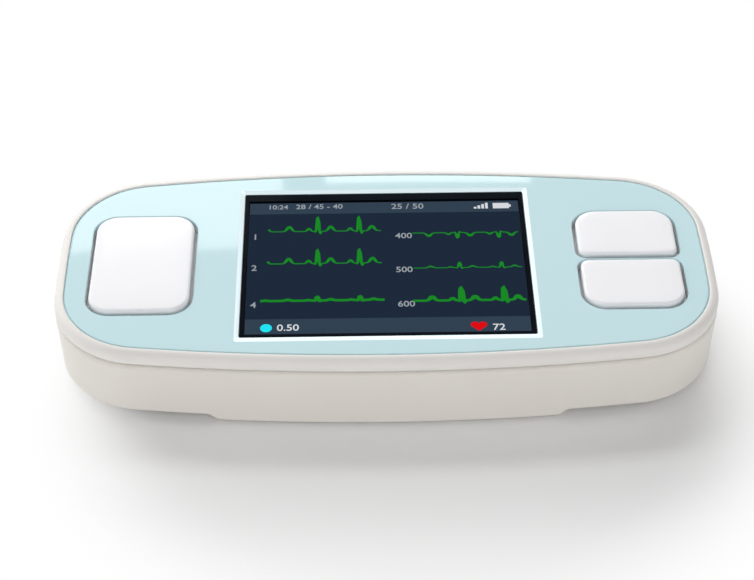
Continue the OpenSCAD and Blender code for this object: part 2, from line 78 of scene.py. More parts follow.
camera.data.lens = FOCAL_LENGTH / PICTURE_WIDTH * camera.data.sensor_width
camera.data.clip_start = 0.01
turned = Matrix((right, above, -ahead)).transposed().to_4x4()
camera.matrix_world = Matrix.Translation(looked_at - DISTANCE * ahead) @ turned
bpy.context.scene.camera = camera

# ------------------------------------------------------------------ lower shell
# Injection moulded in warm white ABS: a drafted wall round a tray, with a raised middle that
# the battery door slides in. The outline is two long bows, two short bows and four corners.
MM = 0.001
CASE_L, CASE_D, CORNER_R = 165.6, 74.6, 23
# how far half of a long bow and half of a short bow turn
SIDE_TURN, END_TURN = math.radians(6.8), math.radians(1.7)
side_cos, end_cos = 1 - math.cos(SIDE_TURN), 1 - math.cos(END_TURN)
half_x, half_y = CASE_L / 2 - CORNER_R, CASE_D / 2 - CORNER_R
# how much larger the bows' radii are than the corner's, where all arcs meet without a kink
turn_area = math.sin(SIDE_TURN) * math.sin(END_TURN) - side_cos * end_cos
side_run = (half_x * math.sin(END_TURN) - half_y * end_cos) / turn_area
end_run = (half_y * math.sin(SIDE_TURN) - half_x * side_cos) / turn_area
corner_turn = math.pi / 2 - SIDE_TURN - END_TURN
# a quarter of the outline: the middle of each arc, how far it turns and in how many steps
OUTLINE_ARCS = [
    ((half_x - end_run, 0), END_TURN, 2),
    ((side_run * math.sin(SIDE_TURN), end_run * math.sin(END_TURN)), corner_turn, 26),
    ((0, half_y - side_run), SIDE_TURN, 10),
]
# heights of the seam, the front panel's face, the underside beside the pedestal, the tray's
# floor and the circuit board's underside, in mm above the table
SEAM_Z, FACE_Z, FLOOR_Z, TRAY_Z, BOARD_Z = 18.5, 22.3, 2.3, 4.3, 12.5
DRAFT = math.radians(2.2)
PEDESTAL_H, PEDESTAL_HALF, SHOULDER, SHOULDER_STEPS = 1.8, 41.7, 2.8, 6


def alone(piece):
    """Makes a piece the only one selected, and the active one."""
    bpy.ops.object.select_all(action="DESELECT")
    piece.select_set(True)
    bpy.context.view_layer.objects.active = piece


def pick(kind, rule):
    """In edit mode, selects the faces, edges or verts that the rule says yes to."""
    bpy.ops.mesh.select_mode(type={"faces": "FACE", "edges": "EDGE", "verts": "VERT"}[kind])
    bpy.ops.mesh.select_all(action="DESELECT")
    mesh = bmesh.from_edit_mesh(bpy.context.object.data)
    mesh.normal_update()
    for item in getattr(mesh, kind):
        if rule(item):
            item.select_set(True)
    mesh.select_flush_mode()
    bmesh.update_edit_mesh(bpy.context.object.data)


def arc(u, z, radius, start, end, steps):
    """Points of a rounded edge in a profile, angles in degrees."""
    angles = [math.radians(start + (end - start) * k / steps) for k in range(steps + 1)]
    return [(u + radius * math.cos(a), z + radius * math.sin(a)) for a in angles]


def draw(name, points):
    """Draws a line of edges through points in mm by extruding a vertex; stays in edit mode."""
    points = [Vector(p) * MM for p in points]
    bpy.ops.object.select_all(action="DESELECT")
    bpy.ops.mesh.primitive_plane_add(size=MM, location=points[0])
    bpy.context.object.name = name
    bpy.ops.object.transform_apply(location=True)
    bpy.ops.object.mode_set(mode="EDIT")
    bpy.ops.mesh.select_mode(type="VERT")
    bpy.ops.mesh.select_all(action="SELECT")
    bpy.ops.mesh.merge(type="CENTER")
    for here, there in zip(points, points[1:]):
        bpy.ops.mesh.extrude_region_move(TRANSFORM_OT_translate={"value": there - here})
    return bpy.context.object


def close_ring(z):
    """In edit mode, fills the open ring of edges at a height."""
    pick("edges", lambda e: e.is_boundary and all(abs(v.co.z - z * MM) < 1e-6 for v in e.verts))
    bpy.ops.mesh.edge_face_add()


def modify(piece, kind, **settings):
    """Adds a modifier and applies it."""
    alone(piece)
    bpy.ops.object.modifier_add(type=kind)
    modifier = piece.modifiers[-1]
    for setting, value in settings.items():
        setattr(modifier, setting, value)
    bpy.ops.object.modifier_apply(modifier=modifier.name)


def case_ring(name, profile, low, high):
    """Sweeps a wall profile, distance outward and height in mm, round the case.

    The two rings inside it are filled, at a low and a high place.
    """
    piece = draw(name, [(CASE_L / 2 + u, 0, z) for u, z in profile])
    bpy.ops.mesh.select_all(action="SELECT")
    for (x, y), angle, steps in OUTLINE_ARCS:
        bpy.ops.mesh.spin(steps=steps, angle=-angle, center=(x * MM, y * MM, 0), axis=(0, 0, 1))
    bpy.ops.object.mode_set(mode="OBJECT")
    modify(piece, "MIRROR", use_axis=(True, True, False), merge_threshold=1e-6)
    bpy.ops.object.mode_set(mode="EDIT")
    close_ring(low)
    close_ring(high)
    bpy.ops.mesh.select_all(action="SELECT")
    bpy.ops.mesh.normals_make_consistent(inside=False)
    bpy.ops.object.mode_set(mode="OBJECT")
    return piece


def block(name, x, y, z, corners=()):
    """A block between two places on each axis, in mm.

    Corners are pairs of a rule and a radius, for the upright edges whose place fits the rule.
    """
    bpy.ops.object.select_all(action="DESELECT")
    middle = [(a + b) / 2 * MM for a, b in (x, y, z)]
    lengths = [(b - a) * MM for a, b in (x, y, z)]
    bpy.ops.mesh.primitive_cube_add(size=1, location=middle, scale=lengths)
    piece = bpy.context.object
    piece.name = name
    bpy.ops.object.transform_apply(location=True, scale=True)
    for rule, radius in corners:
        bpy.ops.object.mode_set(mode="EDIT")
        pick("edges", lambda e: abs(e.verts[0].co.z - e.verts[1].co.z) > MM / 2
             and rule(e.verts[0].co - Vector(middle)))
        bpy.ops.mesh.bevel(offset=radius * MM, segments=10, affect="EDGES")
        bpy.ops.object.mode_set(mode="OBJECT")
    return piece


def rod(name, at, radius, z, steps=32):
    """An upright cylinder at a place, in mm."""
    bpy.ops.object.select_all(action="DESELECT")
    middle = (at[0] * MM, at[1] * MM, (z[0] + z[1]) / 2 * MM)
    bpy.ops.mesh.primitive_cylinder_add(
        vertices=steps, radius=radius * MM, depth=(z[1] - z[0]) * MM, location=middle)
    piece = bpy.context.object
    piece.name = name
    bpy.ops.object.transform_apply(location=True)
    return piece


def carve(piece, operation, tools):
    """Adds tools to a piece (UNION), cuts them out (DIFFERENCE) or keeps the overlap (INTERSECT).

    The tools are used up.
    """
    for tool in tools:
        modify(piece, "BOOLEAN", operation=operation, solver="EXACT", object=tool)
        bpy.data.objects.remove(tool)


def smooth(piece, angle=35):
    """Shades a finished piece: round where its faces meet gently, true flats kept flat."""
    alone(piece)
    bpy.ops.object.shade_smooth_by_angle(angle=math.radians(angle))
    modify(piece, "WEIGHTED_NORMAL", keep_sharp=True, weight=100)


def wall_u(z):
    """How far out the drafted wall is at a height, both in mm; 0 at the seam."""
    return -(SEAM_Z - z) * math.tan(DRAFT)


lip_z, rebate_z, LIP_R, FLOOR_R = SEAM_Z - 0.5, SEAM_Z - 2.1, 1.2, 1.4
edge_z = FLOOR_Z + FLOOR_R
lower_profile = [(-6, TRAY_Z), (-4.3, TRAY_Z), (-2.9, 5.5), (-2.3, rebate_z), (-1.1, rebate_z)]
lower_profile += arc(-LIP_R, lip_z - LIP_R, LIP_R, 85, 0, 8)[:-1]
lower_profile += [(wall_u(lip_z - 1.3), lip_z - 1.3), (wall_u(10), 10)]
lower_profile += arc(wall_u(edge_z) - FLOOR_R, edge_z, FLOOR_R, 0, -90, 8) + [(-6, FLOOR_Z)]
lower_case = case_ring("lower_case", lower_profile, TRAY_Z, FLOOR_Z)

# the middle of the underside is drawn down between two soft shoulders
bpy.ops.object.mode_set(mode="EDIT")
step = SHOULDER / SHOULDER_STEPS
for k in range(SHOULDER_STEPS + 1):
    for side in (-1, 1):
        cut_x = side * (PEDESTAL_HALF + step * k) * MM
        bpy.ops.mesh.select_all(action="SELECT")
        bpy.ops.mesh.bisect(plane_co=(cut_x, 0, 0), plane_no=(1, 0, 0))
for k in range(-1, SHOULDER_STEPS):
    share = max(k, 0) / SHOULDER_STEPS
    drop = PEDESTAL_H * (1 - share * share * (3 - 2 * share))
    # k is -1 for the whole middle, inside the first cut
    low = (PEDESTAL_HALF + step * (k - 0.5)) * MM if k >= 0 else 0
    high = (PEDESTAL_HALF + step * (k + 0.5)) * MM
    pick("verts", lambda v: low <= abs(v.co.x) < high and v.co.z < (edge_z + 0.05) * MM)
    bpy.ops.transform.translate(value=(0, 0, -drop * MM))
bpy.ops.object.mode_set(mode="OBJECT")

# the battery door is cut from the same moulding before its channel is, so that it lies flush
DOOR_HALF, DOOR_FRONT = 27, -18
battery_lid = lower_case.copy()
battery_lid.data = lower_case.data.copy()
battery_lid.name = "battery_lid"
bpy.context.scene.collection.objects.link(battery_lid)
carve(battery_lid, "INTERSECT", [
    block("slice", (-DOOR_HALF, DOOR_HALF), (DOOR_FRONT, 50), (0.55, 2.05))])


def four(x, y):
    """The same place in all four quarters of the case."""
    return [(side * x, end * y) for side in (-1, 1) for end in (-1, 1)]


FOOT_PLACES, SCREW_PLACES, REST_PLACES = four(35, 28), four(56, 26.5), four(68, 14)
POST_R, SCREW_HEAD_R, SCREW_SHANK_R, SOUND_HOLE_R = 3.2, 2.4, 1.4, 0.7
# the charging socket's place along and up the back wall, and the lead jack's
USB_AT, JACK_AT = (-45.5, BOARD_Z - 1.65), (46, BOARD_Z - 2.7)
# the battery bay, the posts for the case's screws and the rests for the board are rooted 1 mm
# deep in the tray's floor
carve(lower_case, "UNION", [block("bay", (-28.3, 28.3), (-18.2, 20.4), (TRAY_Z - 1, 9.8))])
carve(lower_case, "UNION", [rod("post", at, POST_R, (TRAY_Z - 1, 9)) for at in SCREW_PLACES])
carve(lower_case, "UNION", [rod("rest", at, 2, (TRAY_Z - 1, BOARD_Z)) for at in REST_PLACES])
carve(lower_case, "DIFFERENCE", [
    block("bay", (-26.9, 26.9), (-16.8, 19), (-1, 8.6)),
    block("contact_slot", (-6.2, 6.2), (-18.6, -16.5), (3.2, 8.2)),
    block("channel", (-27.3, 27.3), (-18.3, 60), (-1, FLOOR_Z)),
    block("rail_grooves", (-28.5, 28.5), (-18.3, 60), (0.95, 1.9)),
    block("usb_hole", (USB_AT[0] - 4.82, USB_AT[0] + 4.82), (20, 50),
          (USB_AT[1] - 1.93, USB_AT[1] + 1.93))])
carve(lower_case, "DIFFERENCE", [rod("foot_recess", at, 3.6, (-1, 1.15)) for at in FOOT_PLACES])
carve(lower_case, "DIFFERENCE", [
    rod("head_bore", at, SCREW_HEAD_R, (-1, 5.5)) for at in SCREW_PLACES])
carve(lower_case, "DIFFERENCE", [
    rod("shank_bore", at, SCREW_SHANK_R, (3, 12)) for at in SCREW_PLACES])
# sound holes under the buzzer: one in the middle and six round it
sound_holes = [(60, 6)]
for k in range(6):
    sound_holes.append((60 + 2.6 * math.cos(k * math.pi / 3), 6 + 2.6 * math.sin(k * math.pi / 3)))
carve(lower_case, "DIFFERENCE", [
    rod("sound_hole", at, SOUND_HOLE_R, (-1, 6), 20) for at in sound_holes])
jack_hole = rod("jack_hole", (0, 0), 2.7, (-5, 5), 40)
alone(jack_hole)
bpy.ops.object.mode_set(mode="EDIT")
bpy.ops.mesh.select_all(action="SELECT")
bpy.ops.transform.rotate(value=math.pi / 2, orient_axis="X", center_override=(0, 0, 0))
bpy.ops.transform.translate(value=(JACK_AT[0] * MM, 35 * MM, JACK_AT[1] * MM))
bpy.ops.object.mode_set(mode="OBJECT")
carve(lower_case, "DIFFERENCE", [jack_hole])
smooth(lower_case)


class Link:
    """One socket of a material's nodes; arithmetic adds Math nodes, and node() any other kind."""

    def __init__(self, tree, socket=None):
        self.tree, self.socket = tree, socket

    def node(self, kind, settings, inputs, output=0):
        """Adds a node, and hands over the output of that name or number."""
        made = self.tree.nodes.new("ShaderNode" + kind)
        for setting, value in settings.items():
            setattr(made, setting, value)
        for name, value in inputs.items():
            if isinstance(value, Link):
                self.tree.links.new(value.socket, made.inputs[name])
            else:
                made.inputs[name].default_value = value
        return Link(self.tree, made.outputs[output] if made.outputs else None)

    def maths(self, operation, *values):
        """Adds a Math node on numbers and sockets."""
        return self.node("Math", {"operation": operation}, dict(enumerate(values)))

    def __add__(self, other):
        return self.maths("ADD", self, other)

    def __mul__(self, other):
        return self.maths("MULTIPLY", self, other)

    def __gt__(self, other):
        return self.maths("GREATER_THAN", self, other)

    def __lt__(self, other):
        return self.maths("LESS_THAN", self, other)

    def __abs__(self):
        return self.maths("ABSOLUTE", self)

    __radd__, __rmul__ = __add__, __mul__

    def mix(self, one, two):
        """A colour between two, where this socket is the share of the second."""
        return self.node("Mix", {"data_type": "RGBA"}, {0: self, 6: one, 7: two}, 2)

    def noise(self, size, detail=2.0):
        """Soft noise whose lumps are about this many mm across."""
        scale = 1 / (size * MM)
        return self.node("TexNoise", {}, {"Vector": self, "Scale": scale, "Detail": detail})

    def axis(self, name):
        """One of the three numbers of a place."""
        return self.node("SeparateXYZ", {}, {0: self}, "XYZ".index(name))


def rgb(red, green, blue):
    """A colour written as 0 to 255 on screen."""
    shades = [c / 255 for c in (red, green, blue)]
    return [s / 12.92 if s <= 0.04 else ((s + 0.055) / 1.055) ** 2.4 for s in shades] + [1]


def new_material(name):
    """An empty material, and the Object coordinates of what it covers."""
    made = bpy.data.materials.new(name)
    made.use_nodes = True
    made.node_tree.nodes.clear()
    return made, Link(made.node_tree).node("TexCoord", {}, {}, "Object")


def finish(made, inputs, bump=None, height=0.0):
    """Closes a material with a Principled shader; bump is a pattern, and height its depth in mm."""
    link = Link(made.node_tree)
    if bump is not None:
        inputs["Normal"] = link.node("Bump", {}, {"Height": bump, "Distance": height * MM})
    link.node("OutputMaterial", {}, {"Surface": link.node("BsdfPrincipled", {}, inputs)})
    return made


def clad(piece, *materials):
    """Gives a piece its materials in place of what it had."""
    if "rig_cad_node" in piece:
        for slot in piece.material_slots:
            slot.material = materials[0]
    else:
        piece.data.materials.clear()
        for made in materials:
            piece.data.materials.append(made)


# fine spark-eroded texture of the mould, and a faint cloudiness in the gloss
shell_white, place = new_material("shell_white")
cloud = place.noise(18)
finish(shell_white, {
    "Base Color": cloud.mix(rgb(221, 216, 209), rgb(225, 221, 214)),
    "Roughness": 0.36 + 0.08 * place.noise(2.5),
}, bump=place.noise(0.22, 3.0), height=0.006)
clad(lower_case, shell_white)
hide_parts("bottom_housing")
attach(lower_case, "case")

# ------------------------------------------------------------------ battery door
# The sliding lid of the battery bay, moulded in the same white ABS. It goes in from the back
# edge on two rails and lies flush with the pedestal.
carve(battery_lid, "UNION", [
    block("rail", x, (-17, 32), (1.15, 1.7)) for x in ((-28.2, -26.9), (26.9, 28.2))])
# five grooves, so that a thumb can push the lid
GROOVE_STEP = 1.6
carve(battery_lid, "DIFFERENCE", [
    block("groove", (-7, 7), (22.2 + GROOVE_STEP * k, 23 + GROOVE_STEP * k), (0, 0.85),
          [(lambda place: True, 0.35)])
    for k in range(5)])
smooth(battery_lid)
clad(battery_lid, shell_white)
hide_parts("battery_door")
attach(battery_lid, "door")

# ------------------------------------------------------------------ rubber feet
# Four soft grey discs of moulded rubber, with a rounded lower edge. They are glued into
# recesses of the pedestal and hold the monitor still on a table.
feet = []
for at in FOOT_PLACES:
    foot = rod("foot", at, 3.5, (0, 1.1), 40)
    alone(foot)
    bpy.ops.object.mode_set(mode="EDIT")
    pick("edges", lambda e: all(v.co.z < 0.1 * MM for v in e.verts))
    bpy.ops.mesh.bevel(offset=0.2 * MM, segments=3, affect="EDGES")
    bpy.ops.object.mode_set(mode="OBJECT")
    feet.append(foot)


def gather(name, parts):
    """Joins the parts into one piece."""
    alone(parts[0])
    for part in parts:
        part.select_set(True)
    bpy.ops.object.join()
    bpy.context.object.name = name
    return bpy.context.object


rubber_pads = gather("rubber_pads", feet)
smooth(rubber_pads)
rubber, place = new_material("grey_rubber")
finish(rubber, {
    "Base Color": place.noise(3).mix(rgb(118, 120, 122), rgb(134, 136, 138)),
    "Roughness": 0.75 + 0.15 * place.noise(0.6),
}, bump=place.noise(0.3, 3.0), height=0.01)
clad(rubber_pads, rubber)
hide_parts("rubber_feet")
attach(rubber_pads, "case")

# ------------------------------------------------------------------ upper shell
# The second white moulding: a rounded rim, a deck that carries the front panel, collars that
# guide the keys and a pocket for the display. It snaps and screws onto the lower shell.
PANEL_Y, RIM_W, RIM_TOP = -0.5, 2.35, FACE_Z + 0.15
DECK_TOP, DECK_Z = FACE_Z - 1.2, FACE_Z - 2.8
tongue_z, skirt_z = SEAM_Z - 1.8, SEAM_Z - 0.3
upper_profile = [(-6, DECK_Z), (-2.3, DECK_Z), (-2.3, tongue_z)]
upper_profile += [(-1.25, tongue_z), (-1.25, skirt_z)]
upper_profile += arc(-1.5, skirt_z + 1.5, 1.5, -80, 0, 10)
upper_profile += arc(-2, RIM_TOP - 2, 2, 0, 88, 14)
upper_profile += arc(-RIM_W + 0.3, RIM_TOP - 0.3, 0.3, 100, 180, 4)
upper_profile += [(-RIM_W, DECK_TOP), (-6, DECK_TOP)]
upper_case = case_ring("upper_case", upper_profile, DECK_Z, DECK_TOP)

# the keys: where they are, how wide and deep, radii of their corners, and the gaps round them
KEY_X, KEY_W, KEY_D = 61.4, 25, 36.4
KEY_R, PAIR_R, KEY_GAP, PAIR_GAP = 5.5, 2.2, 0.85, 2.2
SMALL_D = (KEY_D - PAIR_GAP) / 2
SMALL_Y = (SMALL_D + PAIR_GAP) / 2
# each key's name, middle x and y, depth, and radius of its corners at the back and in front
KEYS = [("measure", -KEY_X, PANEL_Y, KEY_D, KEY_R, KEY_R),
        ("up", KEY_X, PANEL_Y + SMALL_Y, SMALL_D, KEY_R, PAIR_R),
        ("down", KEY_X, PANEL_Y - SMALL_Y, SMALL_D, PAIR_R, KEY_R)]


def key_block(name, x, y, depth, r_back, r_front, grow, z):
    """A block in a key's outline, grown by so many mm."""
    half_w, half_d = KEY_W / 2 + grow, depth / 2 + grow
    return block(name, (x - half_w, x + half_w), (y - half_d, y + half_d), z,
                 [(lambda place: place.y > 0, r_back + grow),
                  (lambda place: place.y < 0, r_front + grow)])


# what hangs under the deck is rooted 0.2 mm deep in it
root_z = DECK_Z + 0.2
for side in (-1, 1):
    around = (side * KEY_X, PANEL_Y, KEY_D, KEY_R, KEY_R)
    carve(upper_case, "UNION", [key_block("collar", *around, 2.3, (tongue_z, root_z))])
    carve(upper_case, "DIFFERENCE", [key_block("bore", *around, 1.1, (tongue_z - 1, DECK_Z))])
carve(upper_case, "UNION", [rod("post", at, POST_R, (9.1, root_z)) for at in SCREW_PLACES])
# ribs that locate the display, and bosses for the board's screws
DISPLAY_Z, BOARD_TOP = DECK_TOP - 3.9, BOARD_Z + 1.6
BOARD_SCREWS = four(43, 19)
for side in (-1, 1):
    carve(upper_case, "UNION", [
        block("rib", (side * 39.35 - 0.5, side * 39.35 + 0.5),
              (PANEL_Y - 26.35, PANEL_Y + 26.35), (DISPLAY_Z, root_z)),
        block("rib", (side * 26 - 6, side * 26 + 6),
              (PANEL_Y + 32.35, PANEL_Y + 33.35), (DISPLAY_Z, root_z))])
carve(upper_case, "UNION", [rod("boss", at, 2.3, (BOARD_TOP, root_z)) for at in BOARD_SCREWS])
carve(upper_case, "DIFFERENCE", [
    rod("boss_bore", at, 0.95, (BOARD_TOP - 1, BOARD_TOP + 4), 20) for at in BOARD_SCREWS])
carve(upper_case, "DIFFERENCE", [rod("screw_bore", at, 1.05, (8, 17), 20) for at in SCREW_PLACES])
carve(upper_case, "DIFFERENCE", [
    block("pocket", (-38.85, 38.85), (PANEL_Y - 32.35, PANEL_Y + 32.35),
          (DECK_Z - 1, DECK_TOP - 0.6)),
    block("picture_hole", (-35.35, 35.35), (PANEL_Y - 26.6, PANEL_Y + 26.6),
          (DECK_Z - 1, FACE_Z))])
carve(upper_case, "DIFFERENCE", [
    key_block("key_hole", x, y, depth, r_back, r_front, KEY_GAP, (DECK_Z - 1, FACE_Z))
    for name, x, y, depth, r_back, r_front in KEYS])
smooth(upper_case)
# the same plastic, a little cooler in tint, and lighter as painted light for the extra light the
# rim catches
rim_tint_and_painted_light, place = new_material("rim_tint_and_painted_light")
finish(rim_tint_and_painted_light, {
    "Base Color": place.noise(18).mix(rgb(224, 221, 217), rgb(228, 225, 221)),
    "Roughness": 0.34 + 0.08 * place.noise(2.5),
}, bump=place.noise(0.22, 3.0), height=0.006)
clad(upper_case, rim_tint_and_painted_light)
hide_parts("top_housing")
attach(upper_case, "case")

# ------------------------------------------------------------------ front panel
# A separate plate of light blue glossy plastic, glued onto the deck inside the rim, with a
# bevelled opening for the window and openings for the keys.
PANEL_EDGE, PANEL_EDGE_R, GROOVE_Z = 2.65, 0.3, FACE_Z - 0.4
# the window, the play round it and the bevel, which is wider in front
WINDOW_W, WINDOW_FRONT, WINDOW_BACK, WINDOW_PLAY = 72.5, -27.6, 27.4, 0.15
BEVEL_W, BEVEL_H, WIDER_FRONT = 1.1, 0.45, 0.8
foot_u = -RIM_W - 0.05
panel_profile = [(-6, DECK_TOP), (foot_u, DECK_TOP), (foot_u, GROOVE_Z), (-PANEL_EDGE, GROOVE_Z)]
panel_profile += arc(-PANEL_EDGE - PANEL_EDGE_R, FACE_Z - PANEL_EDGE_R, PANEL_EDGE_R, 0, 90, 5)
panel_profile += [(-6, FACE_Z)]
front_panel = case_ring("front_panel", panel_profile, DECK_TOP, FACE_Z)
hole_x, hole_y = WINDOW_W / 2 + WINDOW_PLAY, (WINDOW_BACK - WINDOW_FRONT) / 2 + WINDOW_PLAY
flare = block("flare", (-hole_x, hole_x), (WINDOW_FRONT - WINDOW_PLAY, WINDOW_BACK + WINDOW_PLAY),
              (DECK_TOP - 1, FACE_Z - BEVEL_H), [(lambda place: True, 0.6)])
alone(flare)
bpy.ops.object.mode_set(mode="EDIT")
pick("faces", lambda f: f.normal.z > 0.9)
bpy.ops.mesh.extrude_region_move(
    TRANSFORM_OT_translate={"value": (0, -WIDER_FRONT / 2 * MM, BEVEL_H * MM)})
bpy.ops.transform.resize(
    value=(1 + BEVEL_W / hole_x, 1 + (BEVEL_W + WIDER_FRONT / 2) / hole_y, 1))
bpy.ops.mesh.extrude_region_move(TRANSFORM_OT_translate={"value": (0, 0, 2 * MM)})
bpy.ops.object.mode_set(mode="OBJECT")
carve(front_panel, "DIFFERENCE", [flare])
# each key's opening, with a fine chamfer at the top
CHAMFER = 0.15
for name, x, y, depth, r_back, r_front in KEYS:
    opening = key_block("key_opening", x, y, depth, r_back, r_front, KEY_GAP,
                        (DECK_TOP - 1, FACE_Z - CHAMFER))
    alone(opening)
    bpy.ops.object.mode_set(mode="EDIT")
    pick("faces", lambda f: f.normal.z > 0.9)
    bpy.ops.mesh.extrude_region_move(TRANSFORM_OT_translate={"value": (0, 0, CHAMFER * MM)})
    bpy.ops.transform.resize(value=(1 + 2 * CHAMFER / KEY_W, 1 + 2 * CHAMFER / depth, 1))
    bpy.ops.mesh.extrude_region_move(TRANSFORM_OT_translate={"value": (0, 0, 2 * MM)})
    bpy.ops.object.mode_set(mode="OBJECT")
    carve(front_panel, "DIFFERENCE", [opening])
smooth(front_panel, 20)
panel_blue, place = new_material("panel_blue")
finish(panel_blue, {
    "Base Color": place.noise(40).mix(rgb(189, 220, 225), rgb(193, 223, 228)),
    "Roughness": 0.03 + 0.02 * place.noise(6),
    "Coat Weight": 0.3,
    "Coat Roughness": 0.03,
}, bump=place.noise(9, 1.0), height=0.002)
# the bevel round the window is polished; its paler colour and faint glow are a painted highlight on
# the bevel
bevel_painted_highlight, place = new_material("bevel_painted_highlight")
finish(bevel_painted_highlight, {
    "Base Color": place.noise(12).mix(rgb(224, 240, 244), rgb(229, 243, 247)),
    "Roughness": 0.2 + 0.08 * place.noise(2),
    "Specular IOR Level": 0.3,
    "Emission Color": rgb(214, 240, 246),
    "Emission Strength": 0.12,
})
clad(front_panel, panel_blue, bevel_painted_highlight)
for face in front_panel.data.polygons:
    middle = face.center / MM
    near = abs(middle.x) < hole_x + BEVEL_W and abs(middle.y) < hole_y + BEVEL_W + WIDER_FRONT
    face.material_index = int(near and 0.3 < face.normal.z < 0.99)
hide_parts("fascia_panel")
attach(front_panel, "case")

# ------------------------------------------------------------------ window
# A thin acrylic pane dropped into the panel's opening, black ink printed round its edge and
# clear in the middle.
WINDOW_T = 0.75
CLEAR_X, CLEAR_LOW, CLEAR_HIGH = 35.2, -26.6, 24.7
window_pane = block("window_pane", (-WINDOW_W / 2, WINDOW_W / 2), (WINDOW_FRONT, WINDOW_BACK),
                    (DECK_TOP, DECK_TOP + WINDOW_T), [(lambda place: True, 0.5)])
alone(window_pane)
bpy.ops.object.mode_set(mode="EDIT")
pick("edges", lambda e: all(v.co.z > (DECK_TOP + WINDOW_T - 0.01) * MM for v in e.verts))
bpy.ops.mesh.bevel(offset=0.12 * MM, segments=2, affect="EDGES")
bpy.ops.object.mode_set(mode="OBJECT")
smooth(window_pane)
inked_acrylic, place = new_material("inked_acrylic")
sides, along = abs(place.axis("X")) > CLEAR_X * MM, place.axis("Y")
ends = along.maths("MAXIMUM", along > CLEAR_HIGH * MM, along < CLEAR_LOW * MM)
ink = sides.maths("MAXIMUM", sides, ends)
finish(inked_acrylic, {
    "Base Color": place.noise(5).mix([0.003, 0.005, 0.008, 1], [0.005, 0.007, 0.011, 1]),
    "Roughness": 0.05 + 0.05 * place.noise(15),
    "Specular IOR Level": 0.01,
    "Alpha": 0.02 + 0.98 * ink,
})
clad(window_pane, inked_acrylic)
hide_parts("screen_window")
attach(window_pane, "case")

# ------------------------------------------------------------------ picture on the display
# The upper pane of the display: a navy page with a bar along its top and bottom, six green
# heart traces in two columns, and plain numbers. All of it glows a little.
PICTURE_W, PICTURE_D, PICTURE_Z = 70.1, 52.6, DECK_TOP - 0.3
LAYER = 0.02
MARK_Z, FIGURE_Z, TRACE_Z = PICTURE_Z + 0.03, PICTURE_Z + 0.05, PICTURE_Z + 0.06


def glowing(name, color):
    """A colour of the screen, which gives its own light."""
    made, place = new_material(name)
    return finish(made, {
        "Base Color": [0, 0, 0, 1],
        "Emission Color": place.noise(0.3, 1.0).mix(color, [c * 0.93 for c in color[:3]] + [1]),
        "Emission Strength": 1.0,
        "Roughness": 0.45,
        "Specular IOR Level": 0,
    })


def on_screen(piece, made):
    """Finishes a piece of the picture, which stays with the display."""
    clad(piece, made)
    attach(piece, "case")


def plate(x, y, layers, corners=()):
    """A thin block on the page, so many layers above its back."""
    low = PICTURE_Z + layers * LAYER
    return block("plate", x, y, (low, low + LAYER), corners)


picture_x = (-PICTURE_W / 2, PICTURE_W / 2)
picture_low, picture_high = PANEL_Y - PICTURE_D / 2, PANEL_Y + PICTURE_D / 2
picture_page = block("picture_page", picture_x, (picture_low, picture_high),
                     (PICTURE_Z, PICTURE_Z + LAYER))
on_screen(picture_page, glowing("page_navy", rgb(31, 44, 61)))
on_screen(gather("picture_bars", [plate(picture_x, (20.6, picture_high), 1),
                                  plate(picture_x, (picture_low, -20.1), 1)]),
          glowing("bar_slate", rgb(52, 68, 84)))

# each wave of a heartbeat: mm after the beat, height as a share of the spike, width; the waves
# wider than SLOW are the slower ones
BEAT = [(-2.3, 0.13, 0.6), (-0.45, -0.12, 0.3), (0, 1.0, 0.34), (0.55, -0.2, 0.3), (3.3, 0.24, 0.8)]
BEAT_STEP, SLOW, TRACE_STEP = 10.65, 0.5, 0.15
# each trace: its start and end x, baseline y, first spike's x, the spike's height, how much the
# slower waves count, and half the width of its line
TRACES = [(-30, -1, 13.4, -17.3, 6.0, 1.3, 0.18), (7, 34.4, 12.2, 18.6, -2.1, 2.4, 0.18),
          (-30, -1, 0.7, -17.3, 5.7, 1.4, 0.2), (7, 34.4, -1.6, 18.6, 2.0, 1.2, 0.16),
          (-31.5, -0.5, -13.4, -17.3, 1.3, 1.2, 0.42), (6.5, 34.6, -14.0, 18.6, 5.0, 1.1, 0.4)]
lines = []
for start, end, base, spike_x, height, slow, half_width in TRACES:
    points, weights = [], []
    for k in range(int((end - start) / TRACE_STEP) + 1):
        x = start + TRACE_STEP * k
        rise = 0
        for after, share, width in BEAT:
            # the beat before the first spike is a faint one, with only its slower waves
            for beat in range(-1, 2) if width > SLOW else range(2):
                from_wave = (x - spike_x - beat * BEAT_STEP - after) / width
                if abs(from_wave) < 3:
                    weight = share * (slow if width > SLOW else 1)
                    rise += weight * math.exp(-from_wave * from_wave)
        points.append((x, base + height * rise, TRACE_Z))
        weights.append(half_width + 0.22 * min(1, abs(height * rise)))
    line = draw("line", points)
    bpy.ops.object.mode_set(mode="OBJECT")
    alone(line)
    bpy.ops.object.convert(target="CURVE")
    line.data.bevel_depth = MM
    line.data.use_fill_caps = True
    line.data.bevel_resolution = 0
    for point, weight in zip(line.data.splines[0].points, weights):
        point.radius = weight
    bpy.ops.object.convert(target="MESH")
    modify(line, "WELD", merge_threshold=1e-7)
    bpy.ops.object.mode_set(mode="EDIT")
    bpy.ops.mesh.select_all(action="SELECT")
    bpy.ops.transform.resize(value=(1, 1, 0.05), center_override=(0, 0, TRACE_Z * MM))
    bpy.ops.object.mode_set(mode="OBJECT")
    lines.append(line)
on_screen(gather("heart_traces", lines), glowing("trace_green", rgb(27, 142, 38)))


